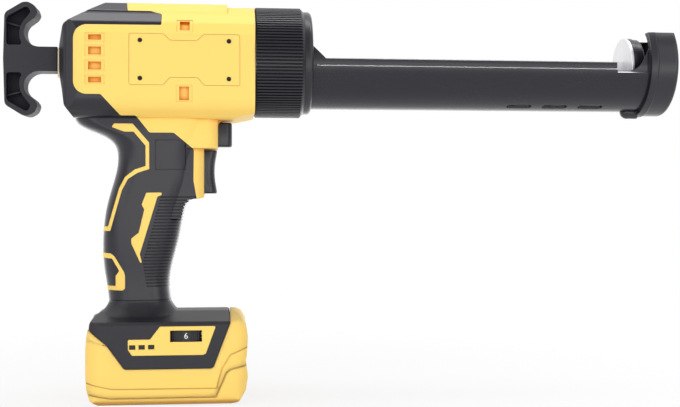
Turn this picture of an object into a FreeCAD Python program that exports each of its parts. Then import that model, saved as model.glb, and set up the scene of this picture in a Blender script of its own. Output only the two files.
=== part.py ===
import FreeCAD, Part
import math
import os

Vector = FreeCAD.Vector

# Cordless caulking tool. X runs along the push rod towards the nozzle, Y to the operator's
# left and Z up. The origin is the middle of the battery's base.

# Driving dimensions, in millimetres.

# Body: the barrel lies round the push rod's axis, the grip reaches down to the neck.
axis_height = 210.0
body_rear_reach = 65.8
body_front_reach = 55.0
barrel_half_width = 33.0
barrel_half_height = 35.0
barrel_corner = 4.0
ridge_height = 34.4
ridge_front_share = 0.862
grip_corner = 14.0
shroud_corner = 8.0
web_radius = 4.0
web_half_width = 9.0
neck_height = 60.5
wall = 3.2
rubber = 1.6
accent_depth = 0.9
accent_round = 0.6
grip_rib_pitch = 1.95
grip_rib_gap = 0.8
grip_rib_depth = 0.45
border_corner = 3.0

# Fits shared by all pieces.
overrun = 20.0
running_gap = 0.3
seat_gap = 0.15
shaft_gap = 0.04
corner_room_share = 0.49
touch_share = 1e-6

# Side plate, recesses and screws of the body.
plate_thickness = 1.5
plate_corner = 1.2
plate_screw_radius = 1.4
plate_screw_sink = 0.5
vent_length = 7.6
vent_height = 4.7
vent_depth = 2.6
vent_frame = 1.9
vent_frame_depth = 0.3
window_length = 5.8
window_height = 8.0
boss_radius = 4.2
screw_radius = 1.5
screw_head_radius = 2.9
screw_head_depth = 2.0
screw_sink = 0.8

# Push rod with its rack, and the pinion that drives it.
rod_half_width = 4.0
rod_rise = 3.5
rod_drop = 7.5
rod_tail = 24.0
rod_front = 295.9
plunger_travel = 200.0
tooth_module = 1.25
pinion_teeth = 14
pressure_angle = math.radians(20.0)
addendum_share = 0.8
dedendum_share = 1.05
backlash = 0.24
pinion_half_width = 3.7
pinion_place = 22.0
shaft_radius = 3.0
shaft_half_length = 11.0
bearing_radius = 8.0
bearing_width = 5.0

# T-handle, pin and rear bush.
handle_depth = 33.0
handle_half_height = 35.2
handle_thickness = 16.0
handle_rim = 1.8
handle_web = 3.0
handle_rib = 1.0
handle_rib_sink = 3.0
handle_pin_radius = 2.0
handle_pin_cover = 2.0
bush_flange = 2.35
bush_lip = 0.9
bush_collar = 2.6

# Piston.
piston_radius = 19.0
piston_thickness = 2.0
piston_edge = 0.5
puck_thickness = 2.8
puck_cup_inset = 0.6
puck_cup_length = 4.2
puck_edge = 1.0
piston_screw_radius = 5.5
piston_screw_height = 3.0
piston_screw_edge = 1.0

# Gearbox, motor and bearings.
gearbox_length = 57.0
gearbox_half_width = 22.0
gearbox_rise = 17.0
flange_thickness = 6.0
nose_radius = 31.4
nose_length = 21.0
nose_bore_radius = 20.0
motor_radius = 14.0
motor_length = 38.0
motor_drop = 27.0
motor_boss_radius = 5.0
motor_boss_length = 3.0
end_bell_length = 5.5
end_bell_inset = 1.0

# Collar nut and carrier.
collar_radius = 34.6
collar_length = 30.4
collar_rib_count = 106
collar_rib_height = 0.9
collar_chamfer = 2.2
collar_lip_length = 4.8
collar_lip_radius = 32.4
collar_gap = 0.5
carrier_radius = 29.0
carrier_wall = 1.8
carrier_flange_radius = 30.7
carrier_flange_thickness = 4.0
carrier_reach = 322.5
lip_band = 4.5
lip_step = 1.1
notch_length = 22.7
notch_drop = 5.2
notch_band = 1.2
gusset_setback = 9.5
gusset_radius = 12.0
gusset_height = 9.4
gusset_rise = 8.0
slot_count = 3
slot_pitch = 23.4
slot_length = 16.2
slot_width = 5.0
slot_setback = 26.8
slot_angle = math.radians(22.0)
cap_radius = 31.6
cap_length = 16.8
cap_front_wall = 2.6
cap_edge = 2.6
cap_flat_height = 19.8
cap_lip_length = 2.6
cap_lip_rise = 0.8
nozzle_slot_half_width = 12.5
cap_boss_radius = 4.4
cap_boss_length = 6.5
cap_screw_radius = 1.6

# Trigger, lock button, switch and springs.
trigger_reach = 8.4
trigger_height = 27.2
trigger_half_width = 7.0
trigger_travel = 6.0
trigger_inner_length = 12.0
trigger_flange = 1.4
trigger_flange_thickness = 2.0
switch_length = 16.0
switch_half_width = 12.0
switch_height = 23.0
trigger_spring_pressed = 4.0
trigger_spring_radius = 3.2
button_reach = 8.8
button_height = 15.5
button_half_width = 6.2
button_travel = 3.0
button_inner_length = 6.5
button_corner = 2.4
lock_spring_pressed = 4.5
lock_spring_radius = 2.6
spring_wall = 0.7
rib_thickness = 3.0

# Foot with its control panel.
base_half_length = 50.8
base_half_width = 37.0
base_corner = 11.0
foot_height = 56.0
foot_crown = 10.0
foot_shoulder = 50.0
foot_wall = 2.4
foot_corner = 2.5
foot_crown_corner = 19.0
neck_flare = 9.5
neck_drop = 9.2
spigot_height = 3.4
spigot_wall = 2.0
spigot_gap = 0.9
panel_thickness = 1.2
panel_corner = 0.7
dial_radius = 13.0
dial_height = 6.2
dial_proud = 0.4
dial_post_radius = 3.0
dial_rib_count = 60
dial_rib_height = 0.35
dial_numbers = 6
dial_number_ribs = 8
dial_number_width = 3
led_length = 3.4
led_height = 2.4
board_thickness = 1.6
board_half_width = 30.0
terminal_half_width = 16.0
terminal_half_length = 14.0
terminal_height = 9.0
blade_half_thickness = 0.4
blade_pitch = 12.0
blade_half_length = 8.0

# Battery.
battery_wall = 1.9
battery_edge = 7.0
battery_corner = 3.0
battery_gap = 0.35
battery_groove = 0.7
battery_groove_depth = 0.5
cell_radius = 9.0
cell_length = 65.0
cell_count = 5
cell_pitch = 18.15
tray_floor = 1.9

# Outlines of the body as shares: along it from rear to front, and up it with 1 at the barrel's
# top, 0 at the axis, -1 at the barrel's underside and -2 at the neck.
section_shares = [(0.45, 0.923), (0.76, 0.745), (0.94, 0.573), (1.0, 0.37), (1.0, -0.55),
                  (0.95, -0.87), (0.70, -1.018)]
section_round_shares = [1, 1, 1, 1, 3, 3, 2]
ridge_shares = [(0.42, 1.0), (0.70, 0.82), (0.745, 0.70), (0.60, 0.20)]
rear_shares = [(1.1, 1.3), (0.316, 1.134), (0.044, 0.528), (0.020, 0.183), (0.020, -0.229),
               (0.030, -0.417), (0.040, -0.574), (0.054, -0.851), (0.0935, -1.013),
               (0.164, -1.131), (0.464, -1.131), (1.1, -0.877)]
rear_face_share = 0.020
plan_shares = [(1.1, 1.0), (0.130, 1.0), (0.056, 0.86), (0.020, 0.56)]
# Grip sections: height, rear, front and half width.
grip_shares = [(-2.0, 0.257, 0.570, 0.576), (-1.944, 0.252, 0.566, 0.561),
               (-1.808, 0.232, 0.575, 0.561), (-1.671, 0.227, 0.609, 0.576),
               (-1.491, 0.247, 0.644, 0.591), (-1.354, 0.283, 0.681, 0.606),
               (-1.236, 0.305, 0.698, 0.621), (-1.141, 0.277, 0.727, 0.645),
               (-1.087, 0.185, 0.752, 0.66), (-1.026, 0.094, 0.768, 0.66),
               (-0.80, 0.065, 0.776, 0.66)]
# Trigger shroud, which runs into the grip in a hollow curve, and button shroud: side outline,
# share of the largest corner for each of its points, and half width.
trigger_shroud_shares = [(0.45, -0.80), (0.743, -0.80), (0.743, -1.440), (0.652, -1.452),
                         (0.628, -1.56), (0.45, -1.56)]
trigger_shroud_round_shares = [0, 0, 0.25, 1, 0, 0]
trigger_shroud_half_share = 0.52
button_shroud_shares = [(0.45, -0.80), (0.814, -0.80), (0.814, -1.174), (0.45, -1.174)]
button_shroud_round_shares = [0, 0, 0.12, 0]
button_shroud_half_share = 0.61
# Border between the black rubber, behind and below it, and the bare yellow shell.
border_shares = [(0.338, 1.3), (0.364, 0.80), (0.478, 0.80), (0.535, 0.74), (0.535, 0.523),
                 (0.103, 0.514), (0.103, -0.674), (0.237, -0.674), (0.329, -1.006),
                 (0.404, -1.006), (0.471, -1.094), (0.592, -1.094), (0.692, -1.181),
                 (0.690, -1.349), (0.707, -1.450), (0.90, -1.55), (0.90, -2.2), (-0.1, -2.2),
                 (-0.1, 1.3)]
border_round_shares = [0, 0.3, 0.5, 0.4, 0.3, 2.8, 2.8, 0.6, 0.5, 0.5, 0.6, 0.6, 0.6, 1, 1, 0, 0, 0, 0]
# Yellow accents let into the grip's rubber.
ribbon_shares = [(0.283, -1.066), (0.295, -1.047), (0.387, -1.047), (0.469, -1.147),
                 (0.469, -1.288), (0.411, -1.308), (0.362, -1.341), (0.332, -1.40),
                 (0.272, -1.618), (0.20, -1.620), (0.20, -1.596), (0.26, -1.594),
                 (0.317, -1.389), (0.347, -1.330), (0.397, -1.290), (0.451, -1.272),
                 (0.451, -1.164), (0.392, -1.090), (0.346, -1.090)]
hook_shares = [(0.20, -1.731), (0.276, -1.739), (0.294, -1.754), (0.342, -1.837),
               (0.347, -1.856), (0.347, -1.926), (0.334, -1.936), (0.20, -1.936),
               (0.20, -1.914), (0.299, -1.912), (0.299, -1.859), (0.318, -1.831),
               (0.281, -1.766), (0.20, -1.760)]
arrow_shares = [(0.454, -1.414), (0.531, -1.413), (0.531, -1.426), (0.510, -1.435),
                (0.421, -1.742), (0.431, -1.786), (0.424, -1.790), (0.379, -1.685),
                (0.379, -1.659), (0.416, -1.627), (0.444, -1.503), (0.431, -1.477)]
# Ribbed zone of the grip's flanks, and the thumb rest above it.
rib_zone_shares = [(0.531, -1.419), (0.436, -1.786), (0.457, -1.926), (0.80, -1.926), (0.80, -1.419)]
thumb_rest_shares = [(0.498, -1.131), (0.653, -1.131), (0.653, -1.292), (0.498, -1.292)]
plate_shares = [(0.377, 0.366), (0.543, 0.366), (0.578, 0.254), (0.710, 0.254), (0.747, 0.366),
                (0.923, 0.366), (0.923, -0.509), (0.747, -0.509), (0.714, -0.377),
                (0.578, -0.377), (0.543, -0.509), (0.377, -0.509)]
plate_screw_shares = [(0.430, 0.254), (0.430, -0.397), (0.869, 0.254), (0.869, -0.397)]
# Recesses of the body: place, and share of their full height.
vent_shares = [(0.209, 0.294, 0.66), (0.209, 0.064, 1), (0.209, -0.192, 1), (0.209, -0.431, 0.72)]
window_shares = [(0.650, 0.514, 0.69), (0.647, -0.649, 1)]
boss_shares = [(0.180, 0.62), (0.114, -0.80), (0.380, -1.20), (0.330, -1.66), (0.412, -1.93)]
# Trigger front, from its lower corner up, as shares of its reach and height.
trigger_shares = [(1.0, 0.0), (0.80, 0.36), (0.80, 0.62), (1.0, 1.0)]
trigger_low_share = -1.417
button_low_share = -1.162
# T-handle outline above the axis, as shares of its depth from the rear and of its half height.
handle_shares = [(1.0, 0.214), (0.563, 0.214), (0.395, 0.364), (0.393, 0.577), (0.59, 0.715),
                 (0.650, 0.80), (0.60, 0.925), (0.47, 1.0), (0.36, 0.985), (0.042, 0.80), (0.018, 0.0)]
handle_round_shares = [0, 0.26, 0.26, 0.26, 0.08, 0.1, 0.12, 0.15, 0.15, 0.12, 0]
pocket_shares = [(0.075, 0.240), (0.375, 0.240), (0.317, 0.361), (0.31, 0.456), (0.332, 0.564),
                 (0.385, 0.658), (0.459, 0.739), (0.519, 0.82), (0.474, 0.901), (0.414, 0.908),
                 (0.105, 0.745), (0.075, 0.68)]
pocket_rib_shares = [(0.063, 0.640), (0.36, 0.563)]
# Foot and battery side outlines, as shares of the base's half length and of the foot's height.
foot_shares = [(-0.76, 0.976), (0.783, 0.976), (0.783, 0.879), (0.583, 0.40), (-0.447, 0.40),
               (-0.649, 0.655), (-0.866, 0.815), (-0.86, 0.87), (-0.83, 0.935)]
crown_share = 0.976
base_rear_share = 0.921
battery_shares = [(-0.921, 0.357), (-0.917, 0.56), (-0.905, 0.70), (-0.872, 0.85), (0.787, 0.976),
                  (0.866, 0.960), (0.935, 0.902), (0.980, 0.830), (1.0, 0.707), (0.988, 0.536),
                  (0.972, 0.454), (1.0, 0.295), (0.972, 0.143), (0.886, 0.027), (0.787, 0.0),
                  (-0.75, 0.0), (-0.853, 0.062), (-0.90, 0.170)]
parting_shares = [(-1.1, 0.170), (-0.827, 0.125), (-0.61, 0.093), (0.61, 0.096), (0.736, 0.354),
                  (0.787, 0.389), (1.1, 0.445)]
groove_shares = [(-1.1, 0.29), (-0.92, 0.257), (-0.59, 0.195), (0.62, 0.191), (0.665, 0.345),
                 (0.689, 0.409), (0.783, 0.548), (0.935, 0.602), (1.1, 0.645)]
inlay_shares = [(-0.406, 0.713), (-0.15, 0.713), (-0.035, 0.850), (0.618, 0.850), (0.500, 0.557),
                (0.467, 0.543), (-0.358, 0.543), (-0.406, 0.607)]
dial_window_shares = (0.083, 0.455, 0.684, 0.806)
led_shares = [(-0.356, 0.631), (-0.246, 0.632), (-0.136, 0.633)]
# Neck between grip and foot: shares of its flare and of its drop.
neck_shares = [(0, 0), (0.11, 0.25), (0.29, 0.5), (0.58, 0.78), (1.0, 1.0)]
# One grip rib of the collar and of the dial: share of its pitch, share of its depth.
collar_rib_shares = [(0.0, 1), (0.22, 1), (0.38, 0), (0.84, 0)]
dial_rib_shares = [(0.0, 1), (0.3, 1), (0.5, 0), (0.8, 0)]
flank_shares = [0, 0.33, 0.67, 1]

# Places worked out from the sizes above.
body_length = body_rear_reach + body_front_reach
body_rear = -body_rear_reach + rear_face_share * body_length
handle_front = body_rear - bush_flange - running_gap
pitch_radius = tooth_module * pinion_teeth / 2
addendum = addendum_share * tooth_module
dedendum = dedendum_share * tooth_module
pinion_height = axis_height - rod_drop + addendum - pitch_radius
gearbox_rear = body_front_reach - gearbox_length
nose_end = body_front_reach + nose_length
carrier_rear = nose_end + running_gap
collar_front = body_front_reach + collar_gap + collar_length
cap_rear = carrier_reach - cap_length
trigger_spring_length = trigger_travel + trigger_spring_pressed
lock_spring_length = button_travel + lock_spring_pressed


def along(share):
    return -body_rear_reach + share * body_length


def up(share):
    if share >= -1:
        return axis_height + share * barrel_half_height
    underside = axis_height - barrel_half_height
    return underside + (share + 1) * (underside - neck_height)


def across(share):
    return share * barrel_half_width


def side_point(u, v):
    return Vector(u, 0, v)


def section_point(u, v):
    return Vector(0, u, v)


def plan_point(u, v):
    return Vector(u, v, 0)


def inset_outline(points, depth):
    """The closed outline moved inwards by the depth, corner radii following."""
    count = len(points)
    area = sum(points[i - 1][0] * points[i][1] - points[i][0] * points[i - 1][1] for i in range(count))
    turn = 1 if area > 0 else -1
    moved = []
    for i in range(count):
        before, here, after = points[i - 1], points[i], points[(i + 1) % count]
        a = unit(before, here)
        b = unit(here, after)
        normal_a = (-a[1] * turn, a[0] * turn)
        normal_b = (-b[1] * turn, b[0] * turn)
        spread = 1 + normal_a[0] * normal_b[0] + normal_a[1] * normal_b[1]
        u = here[0] + depth * (normal_a[0] + normal_b[0]) / spread
        v = here[1] + depth * (normal_a[1] + normal_b[1]) / spread
        convex = (a[0] * b[1] - a[1] * b[0]) * turn > 0
        radius = max(here[2] - depth, 0) if convex else here[2] + depth
        moved.append((u, v, radius))
    return moved


def unit(start, end):
    du = end[0] - start[0]
    dv = end[1] - start[1]
    size = math.hypot(du, dv)
    return du / size, dv / size


def rounded_face(points, place):
    """A face inside the outline of (u, v, corner radius) points."""
    count = len(points)
    corners = []
    for i in range(count):
        before, here, after = points[i - 1], points[i], points[(i + 1) % count]
        a = unit(here, before)
        b = unit(here, after)
        half = math.acos(max(-1, min(1, a[0] * b[0] + a[1] * b[1]))) / 2
        room = min(math.dist(here[:2], before[:2]), math.dist(here[:2], after[:2]))
        room = room * corner_room_share
        reach = min(here[2] / math.tan(half), room) if math.cos(half) > touch_share else 0
        radius = reach * math.tan(half)
        first = (here[0] + a[0] * reach, here[1] + a[1] * reach)
        last = (here[0] + b[0] * reach, here[1] + b[1] * reach)
        bisector = (a[0] + b[0], a[1] + b[1])
        size = math.hypot(*bisector)
        if reach == 0 or size == 0:
            corners.append((first, None, last))
            continue
        far = radius / math.sin(half) - radius
        middle = (here[0] + bisector[0] / size * far, here[1] + bisector[1] / size * far)
        corners.append((first, middle, last))
    edges = []
    for i in range(count):
        first, middle, last = corners[i]
        if middle:
            edges.append(Part.Arc(place(*first), place(*middle), place(*last)).toShape())
        onward = corners[(i + 1) % count][0]
        if math.dist(last, onward) > touch_share * wall:
            edges.append(Part.makeLine(place(*last), place(*onward)))
    return Part.Face(Part.Wire(edges))


def slab(points, low, high):
    """Side outline (x, z, radius) extruded across the tool."""
    face = rounded_face(points, side_point)
    face.translate(Vector(0, low, 0))
    return face.extrude(Vector(0, high - low, 0))


def bar(points, rear, front):
    """Cross-section (y, z, radius) extruded along the tool."""
    face = rounded_face(points, section_point)
    face.translate(Vector(rear, 0, 0))
    return face.extrude(Vector(front - rear, 0, 0))


def post(points, low, high):
    """Plan outline (x, y, radius) extruded upwards."""
    face = rounded_face(points, plan_point)
    face.translate(Vector(0, 0, low))
    return face.extrude(Vector(0, 0, high - low))


def box(x, y, z):
    """A box between the pairs of limits."""
    corner = Vector(x[0], y[0], z[0])
    return Part.makeBox(x[1] - x[0], y[1] - y[0], z[1] - z[0], corner)


def rod_x(radius, rear, front, height=axis_height, side=0):
    """A round bar along the tool."""
    return Part.makeCylinder(radius, front - rear, Vector(rear, side, height), Vector(1, 0, 0))


def rod_y(radius, low, high, x, z):
    """A round bar across the tool."""
    return Part.makeCylinder(radius, high - low, Vector(x, low, z), Vector(0, 1, 0))


def rod_z(radius, low, high, x, y):
    """An upright round bar."""
    return Part.makeCylinder(radius, high - low, Vector(x, y, low), Vector(0, 0, 1))


def fuse(shapes):
    whole = shapes[0].multiFuse(shapes[1:]) if len(shapes) > 1 else shapes[0]
    return whole.removeSplitter()


def mirrored(shares):
    """Both sides of a symmetrical outline, from the shares of its first side."""
    return shares + [(-a, b) for a, b in reversed(shares)]


def body_outline(shares, radius):
    return [(along(a), up(b), radius) for a, b in shares]


def barrel_section(inset):
    side = [(across(a), up(b), c * barrel_corner)
            for (a, b), c in zip(section_shares, section_round_shares)]
    return inset_outline(side + [(-y, z, r) for y, z, r in reversed(side)], inset)


def barrel(inset):
    """Barrel with its top ridge, its raked rear and its faceted rear corners."""
    rear = -body_rear_reach - overrun
    tube = bar(barrel_section(inset), rear, body_front_reach)
    ridge = [(across(a), axis_height + b * ridge_height, barrel_corner) for a, b in mirrored(ridge_shares)]
    ridge_bar = bar(inset_outline(ridge, inset), rear, along(ridge_front_share) - inset)
    rake = inset_outline(body_outline(rear_shares, barrel_corner), inset)
    plan = [(along(a), across(b), barrel_corner) for a, b in plan_shares]
    plan = plan + [(a, -b, r) for a, b, r in reversed(plan)]
    low = axis_height - barrel_half_height - overrun
    high = axis_height + barrel_half_height + overrun
    corners = post(inset_outline(plan, inset), low, high)
    reach = barrel_half_width + overrun
    return fuse([tube, ridge_bar]).common(slab(rake, -reach, reach)).common(corners)


def grip(inset):
    """Grip lofted through rounded sections, wider at the top where it runs into the barrel."""
    wires = []
    for height, rear, front, half in grip_shares:
        x = (along(rear) + inset, along(front) - inset)
        y = across(half) - inset
        radius = grip_corner - inset
        points = [(x[0], -y, radius), (x[1], -y, radius), (x[1], y, radius), (x[0], y, radius)]
        wire = rounded_face(points, plan_point).OuterWire
        wire.translate(Vector(0, 0, up(height)))
        wires.append(wire)
    return Part.makeLoft(wires, True, False)


def shroud(inset, shares, round_shares, half_share):
    """Block behind the trigger or the button, its upright front edges rounded."""
    outline = [(along(a), up(b), c * shroud_corner) for (a, b), c in zip(shares, round_shares)]
    rear = along(shares[0][0]) - overrun
    front = along(shares[1][0]) - inset
    y = across(half_share) - inset
    radius = shroud_corner - inset
    plan = [(rear, -y, 0), (front, -y, radius), (front, y, radius), (rear, y, 0)]
    outline = inset_outline(outline, inset)
    outline[0] = (along(shares[0][0]), outline[0][1], 0)
    outline[-1] = (along(shares[0][0]), outline[-1][1], 0)
    return slab(outline, -y, y).common(post(plan, neck_height, axis_height))


def shroud_web(inset):
    """Hollow curve between the button shroud's front and the barrel's underside."""
    x = along(button_shroud_shares[1][0])
    z = up(section_shares[-1][1])
    size = 2 * web_radius
    points = [(x - size, z + size, 0), (x + size, z + size, 0), (x + size, z, 0), (x, z, web_radius),
              (x, z - size, 0), (x - size, z - size, 0)]
    y = web_half_width - inset
    return slab(inset_outline(points, inset), -y, y)


def envelope(inset):
    """The whole body's outer form, moved inwards by the inset."""
    lower = shroud(inset, trigger_shroud_shares, trigger_shroud_round_shares, trigger_shroud_half_share)
    upper = shroud(inset, button_shroud_shares, button_shroud_round_shares, button_shroud_half_share)
    return fuse([barrel(inset), grip(inset), lower, upper, shroud_web(inset)])


def through(shares, radius):
    """A side outline cut right through the body."""
    reach = barrel_half_width + overrun
    return slab(body_outline(shares, radius), -reach, reach)


def side_surface(form, x, z):
    """How far the form reaches to the side at this place."""
    reach = barrel_half_width + overrun
    line = Part.makeLine(Vector(x, 0, z), Vector(x, reach, z))
    return form.common(line).BoundBox.YMax


def halves(shape):
    """The right (-Y) and left (+Y) halves."""
    size = body_length + carrier_reach
    right = box((-size, size), (-size, 0), (-size, size))
    left = box((-size, size), (0, size), (-size, size))
    return shape.common(right), shape.common(left)


def black_region():
    points = []
    for (a, b), share in zip(border_shares, border_round_shares):
        points.append((along(a), up(b), share * border_corner))
    reach = barrel_half_width + overrun
    return slab(points, -reach, reach)


def trigger_place():
    """Rear face of the trigger's outside part, and its underside."""
    return along(trigger_shroud_shares[1][0]), up(trigger_low_share)


def button_place():
    return along(button_shroud_shares[1][0]), up(button_low_share)


def button_rear():
    """Rear end of the button's stem, behind the shroud's front wall."""
    return button_place()[0] - wall - running_gap - button_inner_length


def trigger_opening():
    x, z = trigger_place()
    y = trigger_half_width + running_gap
    depth = 2 * wall
    return box((x - depth, x + overrun), (-y, y), (z - running_gap, z + trigger_height + running_gap))


def button_opening():
    x, z = button_place()
    y = button_half_width + running_gap
    depth = wall + running_gap
    return box((x - depth, x + overrun), (-y, y), (z - running_gap, z + button_height + running_gap))


def rod_outline(gap):
    """Cross-section of the push rod, grown by the gap."""
    y = rod_half_width + gap
    low = axis_height - rod_drop - gap
    high = axis_height + rod_rise + gap
    return [(-y, low, 0), (y, low, 0), (y, high, 0), (-y, high, 0)]


def bush_outline(grow):
    y = rod_half_width + bush_lip + grow
    low = axis_height - rod_drop - bush_lip - grow
    high = axis_height + rod_rise + bush_lip + grow
    return [(-y, low, 0), (y, low, 0), (y, high, 0), (-y, high, 0)]


def recess_cuts(form, shares, length, height):
    """Louvre pockets or snap windows with closed floors, each in a shallow frame."""
    cuts = []
    for grow, depth in ((vent_frame, vent_frame_depth), (0, vent_depth)):
        floor = barrel(depth)
        for a, b, share in shares:
            x, z = along(a), up(b)
            y = side_surface(form, x, z)
            half = length / 2 + grow
            tall = height * share / 2 + grow / 2
            for side in (-1, 1):
                limits = sorted((side * y / 2, side * (y + overrun)))
                cuts.append(box((x - half, x + half), limits, (z - tall, z + tall)).cut(floor))
    return cuts


def boss_posts():
    reach = barrel_half_width + overrun
    return [rod_y(boss_radius, -reach, reach, along(a), up(b)) for a, b in boss_shares]


def switch_ribs():
    """Ribs that hold the switch between the halves, and the wall that backs the lock spring."""
    x, z = switch_place()
    reach = barrel_half_width + overrun
    y = switch_half_width + seat_gap
    level = (z + switch_height / 2 - rib_thickness / 2, z + switch_height / 2 + rib_thickness / 2)
    ribs = []
    for side in (-1, 1):
        limits = sorted((side * y, side * reach))
        ribs.append(box((x, x + switch_length), limits, level))
    button_z = button_place()[1]
    rear = button_rear() - lock_spring_length
    low = button_z + button_height / 2 - lock_spring_radius - rib_thickness
    high = button_z + button_height / 2 + lock_spring_radius + rib_thickness
    ribs.append(box((rear - rib_thickness, rear), (-reach, reach), (low, high)))
    return ribs


def screw_seats(form):
    """Side surface under each clamshell screw."""
    return [(along(a), up(b), side_surface(form, along(a), up(b))) for a, b in boss_shares]


def screw_holes(seats):
    holes = []
    for x, z, y in seats:
        holes.append(rod_y(screw_radius + seat_gap, -y + wall, y, x, z))
        head = y - screw_sink - screw_head_depth
        holes.append(rod_y(screw_head_radius + seat_gap, head, y + overrun, x, z))
    return holes


def housing_screws(seats):
    screws = []
    for x, z, y in seats:
        head = y - screw_sink - screw_head_depth
        shank = rod_y(screw_radius, -y + wall + seat_gap, head, x, z)
        screws.append(fuse([shank, rod_y(screw_head_radius, head, head + screw_head_depth, x, z)]))
    return Part.makeCompound(screws)


def grip_relief():
    """Grooves that leave fine level ribs round the front of the grip, a ring groove round its lower
    end, and the sunk thumb rest."""
    zone = through(rib_zone_shares, 0)
    floor = fuse([grip(grip_rib_depth), shroud(grip_rib_depth, trigger_shroud_shares,
                                               trigger_shroud_round_shares, trigger_shroud_half_share)])
    low, high = zone.BoundBox.ZMin, zone.BoundBox.ZMax
    reach = body_length
    cuts = [through(thumb_rest_shares, accent_round).cut(floor)]
    levels = [low + (number + 0.5) * grip_rib_pitch for number in range(int((high - low) / grip_rib_pitch))]
    for z in [neck_height + grip_rib_gap] + levels:
        level = box((-reach, reach), (-reach, reach), (z, z + grip_rib_gap))
        if z in levels:
            level = level.common(zone)
        wire = floor.slice(Vector(0, 0, 1), z)[0]
        cuts.append(level.cut(Part.Face(wire).extrude(Vector(0, 0, grip_rib_gap))))
    return cuts


def plate_screw_places(form):
    return [(along(a), up(b), -side_surface(form, along(a), up(b))) for a, b in plate_screw_shares]


def body_shells():
    """Clamshell halves, rubber, accents, side plate and screws, all cut from one outer form."""
    skin = envelope(0)
    core = envelope(rubber)
    hollow = envelope(wall)
    seats = screw_seats(skin)
    band = skin.cut(core).common(black_region())
    accents = fuse([through(s, accent_round) for s in (ribbon_shares, hook_shares, arrow_shares)])
    accent_band = skin.cut(envelope(accent_depth)).common(accents).common(black_region())
    holes = fuse(screw_holes(seats))
    bush_hole = bar(bush_outline(seat_gap), body_rear - overrun, body_rear + wall + overrun)
    openings = fuse([trigger_opening(), button_opening()])
    rubber_shell = band.cut(accent_band).cut(bush_hole).cut(holes).cut(grip_relief())
    shell = skin.cut(band).cut(hollow)
    posts = fuse(boss_posts() + switch_ribs()).common(core)
    shell = fuse([shell, posts]).cut(holes).cut(bush_hole).cut(openings)
    vents = recess_cuts(skin, vent_shares, vent_length, vent_height)
    windows = recess_cuts(skin, window_shares, window_length, window_height)
    shell = shell.cut(fuse(vents + windows))
    plate_points = body_outline(plate_shares, plate_corner)
    reach = barrel_half_width + overrun
    plate_zone = skin.cut(envelope(plate_thickness))
    plate = plate_zone.common(slab(plate_points, -reach, 0))
    grown = inset_outline(plate_points, -seat_gap)
    recess = skin.cut(envelope(plate_thickness + seat_gap)).common(slab(grown, -reach, 0))
    places = plate_screw_places(skin)
    plate_holes = []
    screws = []
    for x, z, y in places:
        plate_holes.append(rod_y(plate_screw_radius + shaft_gap, y - overrun, y + wall, x, z))
        screws.append(rod_y(plate_screw_radius, y + plate_screw_sink, y + wall - shaft_gap, x, z))
    plate_holes = fuse(plate_holes)
    right, left = halves(shell)
    rubber_right, rubber_left = halves(rubber_shell)
    accent_right, accent_left = halves(accent_band.cut(holes))
    return {
        "housing_right": right.cut(recess).cut(plate_holes),
        "housing_left": left,
        "overmould_right": rubber_right,
        "overmould_left": rubber_left,
        "accents_right": accent_right,
        "accents_left": accent_left,
        "side_plate": plate.cut(plate_holes),
        "side_plate_screws": Part.makeCompound(screws),
        "housing_screws": housing_screws(seats),
    }


def rear_rod_bush():
    """Sleeve through the rear wall, with a flange outside it."""
    rear = body_rear
    sleeve = bar(bush_outline(0), rear, rear + wall + bush_lip)
    flange = bar(bush_outline(bush_collar), rear - bush_flange, rear)
    bore = bar(rod_outline(running_gap), rear - overrun, rear + overrun)
    return fuse([sleeve, flange]).cut(bore)


def gearbox_case():
    """Cast case with two locating flanges, the rod's channel, the pinion's chamber and the nose."""
    inside = barrel(wall + seat_gap)
    wide = (-body_length, body_length)
    tall = (axis_height - body_length, axis_height + body_length)
    rear_flange = inside.common(box((gearbox_rear, gearbox_rear + flange_thickness), wide, tall))
    front_flange = inside.common(box((body_front_reach - flange_thickness, body_front_reach), wide, tall))
    low = axis_height - barrel_half_height + wall + flange_thickness
    block = box((gearbox_rear, body_front_reach), (-gearbox_half_width, gearbox_half_width),
                (low, axis_height + gearbox_rise))
    nose = rod_x(nose_radius, body_front_reach, nose_end)
    case = fuse([rear_flange, front_flange, block, nose])
    reach = body_length
    channel = bar(rod_outline(running_gap), gearbox_rear - reach, nose_end + reach)
    bowl = rod_x(nose_bore_radius, nose_end - nose_length + flange_thickness, nose_end + overrun)
    chamber_radius = pitch_radius + addendum + 2 * running_gap
    y = pinion_half_width + running_gap
    chamber = rod_y(chamber_radius, -y, y, pinion_place, pinion_height)
    bearing_reach = y + bearing_width
    bearings = rod_y(bearing_radius + seat_gap, -bearing_reach, bearing_reach, pinion_place, pinion_height)
    shaft_reach = shaft_half_length + running_gap
    shaft = rod_y(shaft_radius + running_gap, -shaft_reach, shaft_reach, pinion_place, pinion_height)
    motor_z = axis_height - motor_drop
    boss = rod_x(motor_boss_radius + seat_gap, gearbox_rear - overrun,
                 gearbox_rear + motor_boss_length + seat_gap, motor_z)
    return case.cut(fuse([channel, bowl, chamber, bearings, shaft, boss]))


def motor_can():
    z = axis_height - motor_drop
    can = rod_x(motor_radius, gearbox_rear - motor_length, gearbox_rear, z)
    boss = rod_x(motor_boss_radius, gearbox_rear, gearbox_rear + motor_boss_length, z)
    return fuse([can, boss])


def motor_end_bell():
    z = axis_height - motor_drop
    front = gearbox_rear - motor_length
    bell = rod_x(motor_radius - end_bell_inset, front - end_bell_length, front, z)
    tabs = []
    for side in (-1, 1):
        y = sorted((side * motor_radius / 2, side * (motor_radius / 2 + end_bell_inset)))
        x = (front - end_bell_length - 2 * end_bell_inset, front - end_bell_length)
        tabs.append(box(x, y, (z - end_bell_inset, z + end_bell_inset)))
    return fuse([bell] + tabs)


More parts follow.
